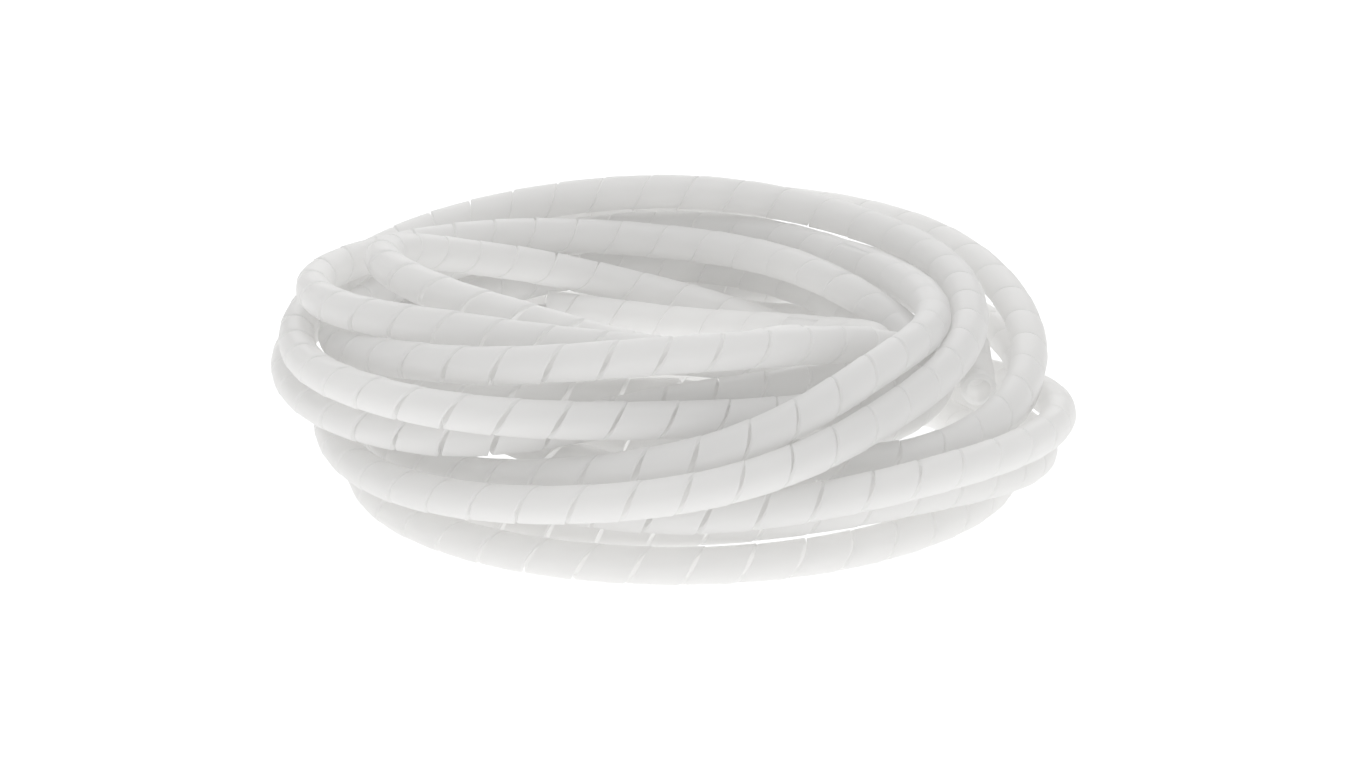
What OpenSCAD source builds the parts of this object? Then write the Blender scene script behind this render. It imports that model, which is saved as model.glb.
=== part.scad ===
// A loose coil of spiral-cut guard tube: one long springy tube wound in
// thirteen turns that nest on each other, with two free, square-cut ends.
// Each turn is a hollow sweep that meets the next one face to face, and each
// end is a straight, truly round stretch with an open bore.

/* [Tube] */
// Outside diameter of the tube
tube_od = 8; // [5:0.5:12]
// Wall of the tube
tube_wall = 1.2; // [0.5:0.1:1.6]
// Straight length at each cut end
end_straight = 18; // [8:1:24]

/* [Coil] */
// Nominal radius of the coil, to the middle of the tube
coil_radius = 72; // [56:1:110]

/* [Smoothness] */
// Rings swept in each eighth of a turn
rings_per_station = 3; // [2:1:3]

/* [Hidden] */

ring_sides = 12;
round_fn = 48;
bore_d = tube_od - 2 * tube_wall;
lap = 1;                      // how far a cutting tool runs past the face it cuts
per_turn = 8;                 // stations in one turn
station_angle = 360 / per_turn;

// The route of the tube, one row for each turn. A station is [out, up] in tube
// diameters: how far the middle of the tube lies outside coil_radius, and how
// high it is above the ground. The eight stations of a row are 45 degrees apart:
// right, back right, back, back left, left, front left, front, front right.
ROUTE = [
  [[-1.05, 2.65], [0.4, 3.5], [-0.1, 2.75], [0.3, 1.4], [-0.25, 0.6], [-0.4, 0.5], [-0.5, 0.5], [-0.5, 0.5]],
  [[-0.1, 0.5], [-0.3, 0.5], [-0.7, 0.5], [-1.7, 0.5], [-2, 0.5], [-1.7, 0.7], [-1.5, 1.2], [-0.3, 1.6]],
  [[0.95, 0.95], [0.9, 0.5], [0.4, 0.5], [-0.6, 0.6], [-1.4, 1.5], [-1.5, 1.75], [-0.6, 1.85], [0.5, 2.4]],
  [[1.4, 2.1], [0.5, 1.4], [-0.25, 1.4], [-1.2, 1.6], [-2, 2.4], [-2.8, 2.7], [-2.65, 3.2], [-0.45, 2.65]],
  [[0.6, 3.55], [1.2, 5.1], [1.2, 5.35], [1.5, 4.4], [1.75, 3.4], [0.3, 3.4], [-2.1, 4.4], [-3.05, 4.2]],
  [[-3, 2.95], [-2.1, 3.45], [-0.3, 3.8], [-0.4, 3.5], [-1.1, 3.15], [-1.55, 3.3], [-1.9, 2.2], [-1.7, 2]],
  [[0.4, 2.55], [1.5, 3.05], [1.05, 2.2], [1.3, 2.4], [0.6, 1.95], [0.7, 2], [0.6, 2.8], [-0.8, 4]],
  [[-1.05, 4.8], [-0.4, 5.4], [0, 5.95], [0.8, 5.45], [1.45, 4.45], [1.1, 4.5], [-1.1, 4.25], [-2.1, 3.8]],
  [[-1.35, 3.85], [-0.3, 4.3], [1, 4.2], [0.7, 3.65], [-0.1, 3.35], [-0.8, 4.15], [-3.2, 4.2], [-2.9, 2.7]],
  [[-1.95, 2.75], [-1.2, 2.6], [-1.2, 2.5], [-0.5, 2.5], [-0.55, 2.1], [-0.6, 2.2], [-0.2, 3.45], [-1.5, 4.95]],
  [[-2.1, 4.95], [-1.7, 4.85], [0.2, 4.8], [-0.1, 4.6], [0.4, 4.4], [-0.05, 5.3], [-1.6, 5.85], [-2.95, 5.2]],
  [[-2.5, 3.9], [-2.9, 4.5], [-1, 4.65], [-0.8, 5.4], [1, 5.6], [-1.2, 5.9], [-2.8, 5.45], [-4.1, 4.2]],
  [[-3.95, 2.7], [-2.75, 2.35], [-2, 3.25], [-1.7, 4.9], [-0.9, 6.4], [-2.4, 6.15], [-4, 5.05], [-5, 4.8]],
  [[-3.7, 4], [-3.8, 3.2], [-3.05, 2.8], [-1.8, 3.5]]
];
STATIONS = [for (turn = ROUTE) for (station = turn) station];

route_start = 1 / 3;                   // where the outer free end turns straight
first_turn = 1;                        // where turn_01 starts
turns = 13;
last_turn_end = first_turn + turns * per_turn;
route_end = last_turn_end + 4 / 3;     // where the inner free end turns straight

// A station before the first and one after the last, so that the curve has an
// even slope at both ends
function station(k) =
  k < 0 ? 2 * STATIONS[0] - STATIONS[1] :
  k > len(STATIONS) - 1 ? 2 * STATIONS[len(STATIONS) - 1] - STATIONS[len(STATIONS) - 2] :
  STATIONS[k];

// A smooth cubic through the stations a, b, c and d, from b (u = 0) to c (u = 1)
function through(a, b, c, d, u) =
  (2 * b + (c - a) * u + (2 * a - 5 * b + 4 * c - d) * u * u + (3 * b - a - 3 * c + d) * u * u * u) / 2;

// The middle of the tube at station t, which may be a fraction; the tube never
// lies lower than the ground
function route_at(t) =
  let (k = floor(t),
       s = through(station(k - 1), station(k), station(k + 1), station(k + 2), t - k),
       r = coil_radius + s[0] * tube_od,
       angle = station_angle * t)
  [r * cos(angle), r * sin(angle), max(s[1], 0.5) * tube_od];

function unit(v) = v / norm(v);

// The tube's direction at station t, towards its inner end
slope_step = 0.02;
function along(t) = unit(route_at(t + slope_step) - route_at(t - slope_step));

// A ring of points of diameter d, square to the tube at station t
function ring(t, d) =
  let (middle = route_at(t),
       forward = along(t),
       side = unit(cross([0, 0, 1], forward)),
       top = cross(forward, side))
  [for (j = [0 : ring_sides - 1])
     let (a = 360 * j / ring_sides)
     middle + (side * cos(a) + top * sin(a)) * d / 2];

// The coil stands in the middle of its own outline
outline = [for (i = [0 : (route_end - route_start) * rings_per_station])
             for (p = ring(route_start + i / rings_per_station, tube_od)) p];
centre_x = (min([for (p = outline) p[0]]) + max([for (p = outline) p[0]])) / 2;
centre_y = (min([for (p = outline) p[1]]) + max([for (p = outline) p[1]])) / 2;

// The tube's wall from station t0 to station t1, with flat ends
module wall(t0, t1) {
  steps = round((t1 - t0) * rings_per_station);
  n = ring_sides;
  inner = (steps + 1) * n;             // where the inner wall's points start
  at = [for (i = [0 : steps]) t0 + (t1 - t0) * i / steps];
  points = concat([for (t = at) for (p = ring(t, tube_od)) p],
                  [for (t = at) for (p = ring(t, bore_d)) p]);
  faces = concat(
    [for (i = [0 : steps - 1]) for (j = [0 : n - 1])
       let (a = i * n + j, b = i * n + (j + 1) % n)
       each [[a, b + n, b], [a, a + n, b + n],
             [inner + a, inner + b, inner + b + n], [inner + a, inner + b + n, inner + a + n]]],
    [for (j = [0 : n - 1])
       let (b = (j + 1) % n, far = steps * n)
       each [[j, b, inner + b], [j, inner + b, inner + j],
             [far + j, inner + far + b, far + b], [far + j, inner + far + j, inner + far + b]]]);
  translate([-centre_x, -centre_y, 0]) polyhedron(points, faces);
}

// A straight end with a true bore, from the route at station t, in direction d
module mouth(t, d) {
  translate(route_at(t) - [centre_x, centre_y, 0])
    rotate([0, acos(d[2]), atan2(d[1], d[0])])
      difference() {
        cylinder(h = end_straight, d = tube_od, $fn = round_fn);
        translate([0, 0, -lap]) cylinder(h = end_straight + 2 * lap, d = bore_d, $fn = round_fn);
      }
}

module turn(k) {
  start = first_turn + (k - 1) * per_turn;
  wall(start, start + per_turn);
}

module outer_mouth() { color("whitesmoke") mouth(route_start, -along(route_start)); }
module outer_lead() { color("white") wall(route_start, first_turn); }
module turn_01() { color("white") turn(1); }
module turn_02() { color("whitesmoke") turn(2); }
module turn_03() { color("white") turn(3); }
module turn_04() { color("whitesmoke") turn(4); }
module turn_05() { color("white") turn(5); }
module turn_06() { color("whitesmoke") turn(6); }
module turn_07() { color("white") turn(7); }
module turn_08() { color("whitesmoke") turn(8); }
module turn_09() { color("white") turn(9); }
module turn_10() { color("whitesmoke") turn(10); }
module turn_11() { color("white") turn(11); }
module turn_12() { color("whitesmoke") turn(12); }
module turn_13() { color("white") turn(13); }
module inner_lead() { color("whitesmoke") wall(last_turn_end, route_end); }
module inner_mouth() { color("white") mouth(route_end, along(route_end)); }

outer_mouth();
outer_lead();
turn_01();
turn_02();
turn_03();
turn_04();
turn_05();
turn_06();
turn_07();
turn_08();
turn_09();
turn_10();
turn_11();
turn_12();
turn_13();
inner_lead();
inner_mouth();
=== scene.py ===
# %% [markdown]
# # A loose coil of spiral-cut guard tube
#
# One long, springy, milky tube lies in a heap of thirteen turns. A slit runs round it
# in a long helix from end to end, so the tube is really one flat strip wound into a
# pipe, and it can be wound round a stem or a cable without threading it on. The two
# ends are cut square and lie free: one looks out at the coil's right-hand side, and
# the other lies in the hollow in the middle.
#
# The frame of plain hollow turns comes from the CAD model. This script lays the real
# strip along the same route, gives it its material, and puts it on a white floor.

import math

import bpy
import numpy as np
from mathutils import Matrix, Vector


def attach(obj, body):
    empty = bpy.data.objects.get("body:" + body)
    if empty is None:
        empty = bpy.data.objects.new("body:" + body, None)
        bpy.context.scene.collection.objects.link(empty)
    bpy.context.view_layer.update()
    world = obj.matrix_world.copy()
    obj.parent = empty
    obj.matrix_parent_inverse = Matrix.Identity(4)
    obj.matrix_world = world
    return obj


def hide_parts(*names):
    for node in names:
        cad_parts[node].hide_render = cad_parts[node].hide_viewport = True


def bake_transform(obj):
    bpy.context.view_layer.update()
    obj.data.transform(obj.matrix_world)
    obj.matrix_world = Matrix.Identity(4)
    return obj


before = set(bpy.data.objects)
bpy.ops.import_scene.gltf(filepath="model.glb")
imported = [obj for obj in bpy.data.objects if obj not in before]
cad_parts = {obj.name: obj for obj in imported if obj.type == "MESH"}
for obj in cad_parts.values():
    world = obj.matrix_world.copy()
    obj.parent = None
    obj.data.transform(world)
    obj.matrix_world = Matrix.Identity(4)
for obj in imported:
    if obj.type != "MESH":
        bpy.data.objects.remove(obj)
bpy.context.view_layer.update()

# %% [markdown]
# ## Sizes
#
# All lengths are in metres. The tube is a stock size, 8 mm outside with a 1.2 mm wall,
# and the helix climbs 11 mm in each turn. The strip keeps its own width wherever the
# tube bends, so the slit opens on the outside of a bend and all but shuts on the
# inside. Places along the tube are counted in stations, eight to a turn of the coil.

# %% Sizes
TUBE = 0.008
WALL = 0.0012
COIL_RADIUS = 0.072
END_STRAIGHT = 0.018
PITCH = 0.011
STRIP = 0.01052

PER_TURN = 8
TURNS = 13
FIRST_TURN = 1
LAST_TURN_END = FIRST_TURN + TURNS * PER_TURN
ROUTE_START = 1 / 3
ROUTE_END = LAST_TURN_END + 4 / 3
print(f"tube {TUBE * 1000:.0f} mm, slit about {(PITCH - STRIP) * 1000:.2f} mm on a straight run")

# %% [markdown]
# ## The route of the tube
#
# A tube this springy never lies in a neat winding. Its turns slip over each other, sag
# between the places where they rest, and lean to one side, so the route is a list of
# stations given one by one and not a formula. Each station says how far the middle of the
# tube lies outside the coil's nominal radius and how high it is, in tube diameters, as
# in the CAD source. Each pair of rows is one turn, the half at the back and then the
# half in front, and the single row is the inner free end.

# %% Route
ROUTE = [
    [
        (-1.05, 2.65), (0.4, 3.5), (-0.1, 2.75), (0.3, 1.4),
        (-0.25, 0.6), (-0.4, 0.5), (-0.5, 0.5), (-0.5, 0.5),
    ],
    [
        (-0.1, 0.5), (-0.3, 0.5), (-0.7, 0.5), (-1.7, 0.5),
        (-2, 0.5), (-1.7, 0.7), (-1.5, 1.2), (-0.3, 1.6),
    ],
    [
        (0.95, 0.95), (0.9, 0.5), (0.4, 0.5), (-0.6, 0.6),
        (-1.4, 1.5), (-1.5, 1.75), (-0.6, 1.85), (0.5, 2.4),
    ],
    [
        (1.4, 2.1), (0.5, 1.4), (-0.25, 1.4), (-1.2, 1.6),
        (-2, 2.4), (-2.8, 2.7), (-2.65, 3.2), (-0.45, 2.65),
    ],
    [
        (0.6, 3.55), (1.2, 5.1), (1.2, 5.35), (1.5, 4.4),
        (1.75, 3.4), (0.3, 3.4), (-2.1, 4.4), (-3.05, 4.2),
    ],
    [
        (-3, 2.95), (-2.1, 3.45), (-0.3, 3.8), (-0.4, 3.5),
        (-1.1, 3.15), (-1.55, 3.3), (-1.9, 2.2), (-1.7, 2),
    ],
    [
        (0.4, 2.55), (1.5, 3.05), (1.05, 2.2), (1.3, 2.4),
        (0.6, 1.95), (0.7, 2), (0.6, 2.8), (-0.8, 4),
    ],
    [
        (-1.05, 4.8), (-0.4, 5.4), (0, 5.95), (0.8, 5.45),
        (1.45, 4.45), (1.1, 4.5), (-1.1, 4.25), (-2.1, 3.8),
    ],
    [
        (-1.35, 3.85), (-0.3, 4.3), (1, 4.2), (0.7, 3.65),
        (-0.1, 3.35), (-0.8, 4.15), (-3.2, 4.2), (-2.9, 2.7),
    ],
    [
        (-1.95, 2.75), (-1.2, 2.6), (-1.2, 2.5), (-0.5, 2.5),
        (-0.55, 2.1), (-0.6, 2.2), (-0.2, 3.45), (-1.5, 4.95),
    ],
    [
        (-2.1, 4.95), (-1.7, 4.85), (0.2, 4.8), (-0.1, 4.6),
        (0.4, 4.4), (-0.05, 5.3), (-1.6, 5.85), (-2.95, 5.2),
    ],
    [
        (-2.5, 3.9), (-2.9, 4.5), (-1, 4.65), (-0.8, 5.4),
        (1, 5.6), (-1.2, 5.9), (-2.8, 5.45), (-4.1, 4.2),
    ],
    [
        (-3.95, 2.7), (-2.75, 2.35), (-2, 3.25), (-1.7, 4.9),
        (-0.9, 6.4), (-2.4, 6.15), (-4, 5.05), (-5, 4.8),
    ],
    [(-3.7, 4), (-3.8, 3.2), (-3.05, 2.8), (-1.8, 3.5)],
]
stations = np.array([station for turn in ROUTE for station in turn], float)
print("stations:", len(stations))

# %% [markdown]
# A smooth cubic runs through the stations. A station more is needed before the first
# and after the last, and each is found by carrying on straight. The tube never sinks
# below half its own thickness, where it lies on the floor.

# %% Curve through the stations
ON_THE_FLOOR = 0.5
padded = np.vstack([2 * stations[0] - stations[1], stations, 2 * stations[-1] - stations[-2]])


def route_at(t):
    """The middle of the tube at each station number in t, before the coil is centred."""
    t = np.asarray(t, float)
    k = np.floor(t).astype(int)
    u = (t - k)[:, None]
    a, b, c, d = (padded[k + i] for i in range(4))
    bend = 2 * a - 5 * b + 4 * c - d
    twist = 3 * b - a - 3 * c + d
    out, up = ((2 * b + (c - a) * u + bend * u**2 + twist * u**3) / 2).T
    radius = COIL_RADIUS + out * TUBE
    angle = t * math.tau / PER_TURN
    height = np.maximum(up, ON_THE_FLOOR) * TUBE
    return np.stack([radius * np.cos(angle), radius * np.sin(angle), height], 1)


def unit(v):
    return v / np.linalg.norm(v, axis=-1, keepdims=True)


def across(forward):
    """Two directions square to the tube: level, towards the coil's middle, and upwards."""
    side = unit(np.cross((0, 0, 1), forward))
    return side, np.cross(forward, side)


highest = route_at(np.arange(ROUTE_START, ROUTE_END))[:, 2].max()
print(f"the middle of the tube rises to about {highest * 1000:.0f} mm")

# %% [markdown]
# ## Centring the coil
#
# The coil stands in the middle of its own outline. The outline is worked out from the
# same rings that the CAD model sweeps, so both models are centred alike.

# %% Centre
RING_SIDES = 12
RINGS_PER_STATION = 3
ROUNDING = 1e-6
HALF_STEP = 0.02

ring_t = np.arange(ROUTE_START, ROUTE_END + ROUNDING, 1 / RINGS_PER_STATION)
ring_forward = unit(route_at(ring_t + HALF_STEP) - route_at(ring_t - HALF_STEP))
ring_side, ring_top = across(ring_forward)
corner = np.arange(RING_SIDES) * math.tau / RING_SIDES
spoke = (
    ring_side[:, None] * np.cos(corner)[:, None]
    + ring_top[:, None] * np.sin(corner)[:, None]
)
outline = (route_at(ring_t)[:, None] + spoke * TUBE / 2).reshape(-1, 3)
centre = (outline.min(0) + outline.max(0)) / 2 * (1, 1, 0)
print("centre of the outline, mm:", np.round(centre[:2] * 1000, 3))

# %% [markdown]
# The centre line is a dense chain of points with the two straight ends added.
# Everything later is found on it by its distance along.

# %% Centre line
POINTS_PER_STATION = 60
STRAIGHT_POINTS = 25

fine_t = np.linspace(
    ROUTE_START,
    ROUTE_END,
    round((ROUTE_END - ROUTE_START) * POINTS_PER_STATION) + 1,
)
middle = route_at(fine_t) - centre
straight = np.linspace(0, END_STRAIGHT, STRAIGHT_POINTS)[1:, None]
outer_straight = middle[0] - straight[::-1] * ring_forward[0]
inner_straight = middle[-1] + straight * ring_forward[-1]
line = np.vstack([outer_straight, middle, inner_straight])
along = np.concatenate([[0], np.cumsum(np.linalg.norm(np.diff(line, axis=0), axis=1))])
total = along[-1]
forward = unit(np.gradient(line, along, axis=0))
turning = np.gradient(forward, along, axis=0)


def on_line(values, s):
    """A value known along the centre line, at the distances s."""
    return np.stack([np.interp(s, along, column) for column in values.T], -1)


def distance_at(t):
    """How far along the tube a station is."""
    return float(np.interp(t, fine_t, along[len(straight) : len(straight) + len(fine_t)]))


print(f"centre line: {total:.3f} m, {total / PITCH:.0f} turns of the strip")

# %% [markdown]
# ## The camera
#
# A long lens a little under a metre away, looking down on the coil at a low angle. A
# long lens keeps the near and far turns almost the same size.

# %% Camera
ELEVATION = math.radians(17)
DISTANCE = 115.6 * TUBE
AIM_HEIGHT = 2.8 * TUBE
LENS = 111.2
SENSOR = 36
NEAREST = 0.01

aim = Vector((0, 0, AIM_HEIGHT)) - Vector(centre)
camera = bpy.data.objects.new("camera", bpy.data.cameras.new("camera"))
bpy.context.scene.collection.objects.link(camera)
camera.data.lens = LENS
camera.data.sensor_width = SENSOR
camera.data.clip_start = NEAREST
camera.location = aim + Vector((0, -math.cos(ELEVATION), math.sin(ELEVATION))) * DISTANCE
camera.rotation_euler = (math.pi / 2 - ELEVATION, 0, 0)
bpy.context.scene.camera = camera
print(f"camera: {DISTANCE:.2f} m away, {LENS} mm lens")

# %% [markdown]
# ## The strip's section
#
# The tube is extruded whole, and a knife that turns round it then cuts the slit. What
# is left is a strip, about 10 mm wide and 1.2 mm thick, that winds round the tube's
# axis. Its section is drawn once, with the small broken edges that the knife leaves.
# Each corner has an offset across the strip, where 1 is the strip's edge, and a depth
# below the tube's skin.

# %% Section
SKIN_CHAMFER = 0.00007
SKIN_EDGE = 0.00024
BORE_EDGE = 0.00105

SECTION = [
    (-0.95, 0),
    (-0.5, 0),
    (0, 0),
    (0.5, 0),
    (0.95, 0),
    (0.988, SKIN_CHAMFER),
    (1, SKIN_EDGE),
    (1, BORE_EDGE),
    (0.97, WALL),
    (0, WALL),
    (-0.97, WALL),
    (-1, BORE_EDGE),
    (-1, SKIN_EDGE),
    (-0.988, SKIN_CHAMFER),
]
print("section:", len(SECTION), "corners")

# %% [markdown]
# ## Winding the strip
#
# The section travels along a left-handed helix round the centre line. Where the tube
# bends, a point on the outside of the bend has further to go than the middle of the
# tube. The strip doesn't stretch, so an offset across it is divided by that stretch,
# and the slit takes up the difference. At each end of the tube the strip is cut off by
# the flat of the tube's end. The strip is also never quite even: its forward edge
# stands a little proud of the other, and the slit's width wanders slightly.

# %% Winding
HAND = -1
PROUD_EDGE = 0.00007
LEAST_SLIT = 0.00015
SLIT_WANDER = 0.0002
WAVES = [(61, 0), (23.7, 1.1), (151, 0.4)]


def wander(s):
    """A slow, even unevenness along the tube, between -1 and 1."""
    return sum(np.sin(s * rate + start) for rate, start in WAVES) / len(WAVES)


def strip_points(u):
    """The section's corners at each helix turn number in u, shaped (len(u), corners, 3)."""
    s = u * PITCH
    angle = HAND * u * math.tau
    offset, depth = np.array(SECTION).T
    at = np.clip(s, 0, total)
    side, top = across(unit(on_line(forward, at)))
    outward = side * np.cos(angle)[:, None] + top * np.sin(angle)[:, None]
    stretch = 1 - (on_line(turning, at) * outward).sum(-1) * TUBE / 2
    slit = PITCH * stretch - STRIP - SLIT_WANDER * wander(s)
    half = (PITCH * stretch - np.maximum(slit, LEAST_SLIT)) / 2 / stretch
    low, high = np.clip(s - half, 0, total), np.clip(s + half, 0, total)
    where = ((low + high) / 2)[:, None] + offset * ((high - low) / 2)[:, None]
    side, top = across(unit(on_line(forward, where)))
    outward = side * np.cos(angle)[:, None, None] + top * np.sin(angle)[:, None, None]
    radius = TUBE / 2 - depth + PROUD_EDGE * (offset - 0.5)
    return on_line(line, where) + outward * radius[:, None]


print(f"slit wanders by {SLIT_WANDER * 1000:.1f} mm at most, and is never under {LEAST_SLIT * 1000:.2f} mm")

# %% [markdown]
# The corners are joined to a mesh of four-sided faces, with a flat cap at both ends,
# so that each length of strip is closed and its faces point outwards.

# %% Strip mesh
STEPS_PER_WIND = 26
FEWEST_STEPS = 8


def strip_mesh(name, u0, u1):
    """The strip from helix turn u0 to u1, as one closed mesh with flat caps."""
    steps = max(FEWEST_STEPS, round((u1 - u0) * STEPS_PER_WIND))
    points = strip_points(np.linspace(u0, u1, steps + 1))
    n = len(SECTION)
    i, j = np.meshgrid(np.arange(steps), np.arange(n), indexing="ij")
    a, b = i * n + j, i * n + (j + 1) % n
    quads = np.stack([a, b, b + n, a + n], -1).reshape(-1, 4).tolist()
    caps = [list(range(n - 1, -1, -1)), list(range(steps * n, steps * n + n))]
    mesh = bpy.data.meshes.new(name)
    mesh.from_pydata(points.reshape(-1, 3).tolist(), [], quads + caps)
    mesh.update()
    return mesh


print(STEPS_PER_WIND, "steps round the tube")

# %% [markdown]
# ## One piece for each turn
#
# The tube is one strip from end to end. It is made in the CAD model's own lengths:
# thirteen turns that lie still, and an end piece at each side. Neighbours meet on the
# same section of the strip, so no more than a faint line shows where one stops.

# %% Pieces
SHORT_OF_THE_END = 0.02
scene_collection = bpy.context.scene.collection


def make_piece(name, s0, s1, nodes, reach0=0.0, reach1=0.0):
    """The strip between two distances along the tube. reach carries it past the tube's cut end."""
    mesh = strip_mesh(name, s0 / PITCH - reach0, s1 / PITCH + reach1)
    piece = bpy.data.objects.new(name, mesh)
    scene_collection.objects.link(piece)
    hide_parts(*nodes)
    return piece


overhang = STRIP / PITCH / 2 - SHORT_OF_THE_END
first = distance_at(FIRST_TURN)
last = distance_at(LAST_TURN_END)
outer_end = make_piece("outer_end", 0, first, ["outer_mouth", "outer_lead"], reach0=overhang)
pieces = [outer_end]
for k in range(TURNS):
    s0 = distance_at(FIRST_TURN + k * PER_TURN)
    s1 = distance_at(FIRST_TURN + (k + 1) * PER_TURN)
    node = f"turn_{k + 1:02d}"
    turn = make_piece(f"strip_{node}", s0, s1, [node])
    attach(turn, "coil")
    pieces.append(turn)
inner_end = make_piece("inner_end", last, total, ["inner_lead", "inner_mouth"], reach1=overhang)
pieces.append(inner_end)
print("pieces:", len(pieces), "faces:", sum(len(piece.data.polygons) for piece in pieces))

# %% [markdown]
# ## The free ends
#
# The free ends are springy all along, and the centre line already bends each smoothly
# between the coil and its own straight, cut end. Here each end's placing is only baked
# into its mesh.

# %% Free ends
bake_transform(outer_end)
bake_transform(inner_end)
print("blended:", outer_end.name, "and", inner_end.name)

# %% [markdown]
# ## Shader maths
#
# Shader values are added and multiplied like numbers, which reads more easily than a
# list of nodes and links. Any other node comes from one method.


# %% Shader values
class Wire:
    """A shader value that can be added, multiplied and passed on like a number."""

    def __init__(self, tree, socket=None):
        self.tree = tree
        self.socket = socket

    def node(self, kind, inputs=(), output=0, **settings):
        made = self.tree.nodes.new(kind)
        for key, value in settings.items():
            setattr(made, key, value)
        for key, value in dict(inputs).items():
            if isinstance(value, Wire):
                self.tree.links.new(value.socket, made.inputs[key])
            else:
                made.inputs[key].default_value = value
        return Wire(self.tree, made.outputs[output] if made.outputs else None)

    def maths(self, operation, other):
        return self.node("ShaderNodeMath", {0: self, 1: other}, operation=operation)

    def __add__(self, other):
        return self.maths("ADD", other)

    def __mul__(self, other):
        return self.maths("MULTIPLY", other)

    __radd__ = __add__
    __rmul__ = __mul__


def empty_material(name):
    """A material with no nodes, and the Wire that its nodes start from."""
    material = bpy.data.materials.new(name)
    material.use_nodes = True
    material.node_tree.nodes.clear()
    return material, Wire(material.node_tree)


print("shader maths:", "add and multiply")

# %% [markdown]
# ## Milky polyethylene
#
# Natural polyethylene in a thin wall is white and cloudy. Light goes through it and
# spreads, so the far side of the tube glows through the near one. A glossy skin is
# mixed with a translucent body for that. The satin shine is a little uneven from place
# to place, and a fine grain breaks it up.

# %% Plastic
TINT = (0.985, 0.982, 0.974, 1)
GLOW_THROUGH = 0.6
SATIN = 0.3
SATIN_SPREAD = 0.12
CLOUD_SCALE = 90.0
GRAIN_SCALE = 900.0
GRAIN_STRENGTH = 0.08
GRAIN_HEIGHT = 0.0002
PLASTIC_IOR = 1.5


def milky_plastic():
    material, wire = empty_material("milky_polyethylene")
    place = wire.node("ShaderNodeTexCoord", output="Object")
    cloud = wire.node("ShaderNodeTexNoise", {"Vector": place, "Scale": CLOUD_SCALE, "Detail": 2.0})
    grain = wire.node("ShaderNodeTexNoise", {"Vector": place, "Scale": GRAIN_SCALE, "Detail": 3.0})
    bump = wire.node(
        "ShaderNodeBump",
        {"Height": grain, "Strength": GRAIN_STRENGTH, "Distance": GRAIN_HEIGHT},
    )
    skin = wire.node(
        "ShaderNodeBsdfPrincipled",
        {
            "Base Color": TINT,
            "Roughness": cloud * SATIN_SPREAD + SATIN,
            "IOR": PLASTIC_IOR,
            "Normal": bump,
        },
    )
    glow = wire.node("ShaderNodeBsdfTranslucent", {"Color": TINT})
    both = wire.node("ShaderNodeMixShader", {0: GLOW_THROUGH, 1: skin, 2: glow})
    wire.node("ShaderNodeOutputMaterial", {"Surface": both})
    return material


plastic = milky_plastic()
for piece in pieces:
    piece.data.materials.append(plastic)
    piece.data.polygons.foreach_set("use_smooth", [True] * len(piece.data.polygons))
    piece.data.update()
print("material:", plastic.name, "on", len(pieces), "pieces")

# %% [markdown]
# ## White floor
#
# The coil stands on a white floor that shines evenly by itself. It hides the horizon
# and lights the lowest turns from below, as a lit white table does.

# %% Floor
FLOOR_SIZE = 8
FLOOR_WHITE = (0.85, 0.85, 0.85, 1)
FLOOR_ROUGHNESS = 0.9
FLOOR_SHINE = 0.9
WHITE = (1, 1, 1, 1)


def white_floor():
    material, wire = empty_material("white_floor")
    paint = wire.node(
        "ShaderNodeBsdfPrincipled",
        {
            "Base Color": FLOOR_WHITE,
            "Roughness": FLOOR_ROUGHNESS,
            "Emission Color": WHITE,
            "Emission Strength": FLOOR_SHINE,
        },
    )
    wire.node("ShaderNodeOutputMaterial", {"Surface": paint})
    return material


bpy.ops.mesh.primitive_plane_add(size=FLOOR_SIZE, location=(0, 0, 0))
floor = bpy.context.object
floor.name = "floor"
floor.data.materials.append(white_floor())
print("floor:", FLOOR_SIZE, "m square")

# %% [markdown]
# ## Soft light
#
# One big soft box stands above the coil and one behind it, so that light comes through
# the wall of the tube towards the camera. A dim white sky fills in the rest.

# %% Lights
SKY = 0.35


def soft_box(name, location, size, power):
    """A square lamp that faces the coil."""
    light = bpy.data.lights.new(name, "AREA")
    light.shape = "SQUARE"
    light.size = size
    light.energy = power
    lamp = bpy.data.objects.new(name, light)
    lamp.location = location
    lamp.rotation_euler = (aim - Vector(location)).to_track_quat("-Z", "Y").to_euler()
    scene_collection.objects.link(lamp)
    return lamp


top_box = soft_box("top_box", location=(0, 0.1, 0.9), size=0.9, power=4)
back_box = soft_box("back_box", location=(0, 0.9, 0.5), size=0.8, power=4)

world = bpy.data.worlds.new("studio")
bpy.context.scene.world = world
world.use_nodes = True
sky = world.node_tree.nodes["Background"]
sky.inputs["Color"].default_value = WHITE
sky.inputs["Strength"].default_value = SKY
print("lights:", top_box.name, back_box.name, "and the sky")

# %% [markdown]
# ## Tone of the picture
#
# White plastic on a white floor has little contrast. The plain view with a raised gamma
# lifts the crevices, so that the turns read as pale grey on white.

# %% Tone
EXPOSURE = -0.28
GAMMA = 1.8

view = bpy.context.scene.view_settings
view.view_transform = "Standard"
view.exposure = EXPOSURE
view.gamma = GAMMA
print("view:", view.view_transform, "exposure", EXPOSURE, "gamma", GAMMA)
